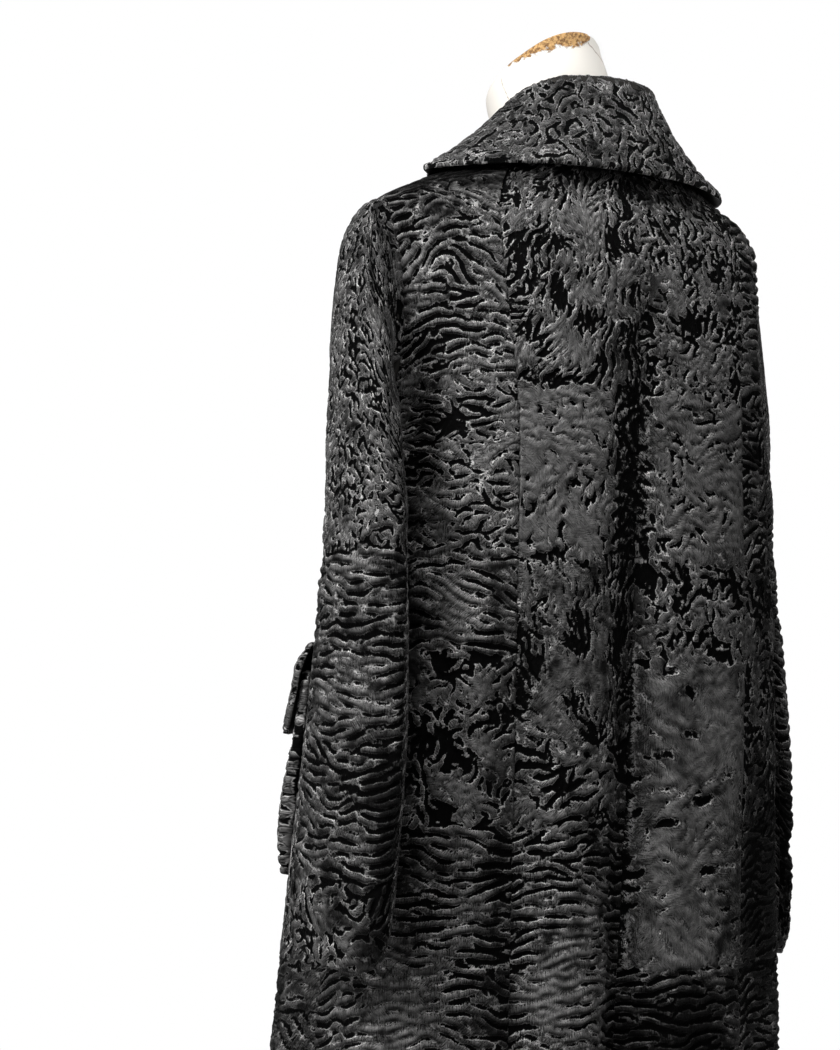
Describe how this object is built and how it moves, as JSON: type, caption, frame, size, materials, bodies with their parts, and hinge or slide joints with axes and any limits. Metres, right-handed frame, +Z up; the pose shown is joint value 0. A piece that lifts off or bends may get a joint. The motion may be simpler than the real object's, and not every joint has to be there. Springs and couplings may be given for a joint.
{
  "type": "fur coat on dress form",
  "caption": "Long A-line curly-lamb fur coat with a wide turned-down collar, patch pockets and set-in sleeves, worn by a limbless dress form on a round-based stand.",
  "frame": {"origin": "middle of the underside of the stand's base", "axes": "+Z up, the coat's front faces -Y, the wearer's left side is +X"},
  "size_m": [0.5746, 0.3919, 1.5102],
  "materials": {
    "pelt": "black lamb pelt with a short, glossy, tightly curled pile",
    "form_paint": "matt off-white paint over a moulded shell, worn through at the neck's rim",
    "pole_steel": "satin steel tube",
    "base_iron": "dark painted casting"
  },
  "bodies": {
    "root": {"back_centre_left_upper": "pelt", "back_centre_left_lower": "pelt", "back_centre_right_upper": "pelt", "back_centre_right_lower": "pelt", "back_side_left_upper": "pelt", "back_side_left_lower": "pelt", "back_side_right_upper": "pelt", "back_side_right_lower": "pelt", "front_left_upper": "pelt", "front_left_lower": "pelt", "front_right_upper": "pelt", "front_right_lower": "pelt", "collar": "pelt", "pocket_left": "pelt", "pocket_right": "pelt", "pocket_flap_left": "pelt", "pocket_flap_right": "pelt", "sleeve_left_top": "pelt", "sleeve_left_under": "pelt", "sleeve_right_top": "pelt", "sleeve_right_under": "pelt", "form_torso": "form_paint", "form_pole": "pole_steel", "form_base": "base_iron"}
  },
  "joints": []
}
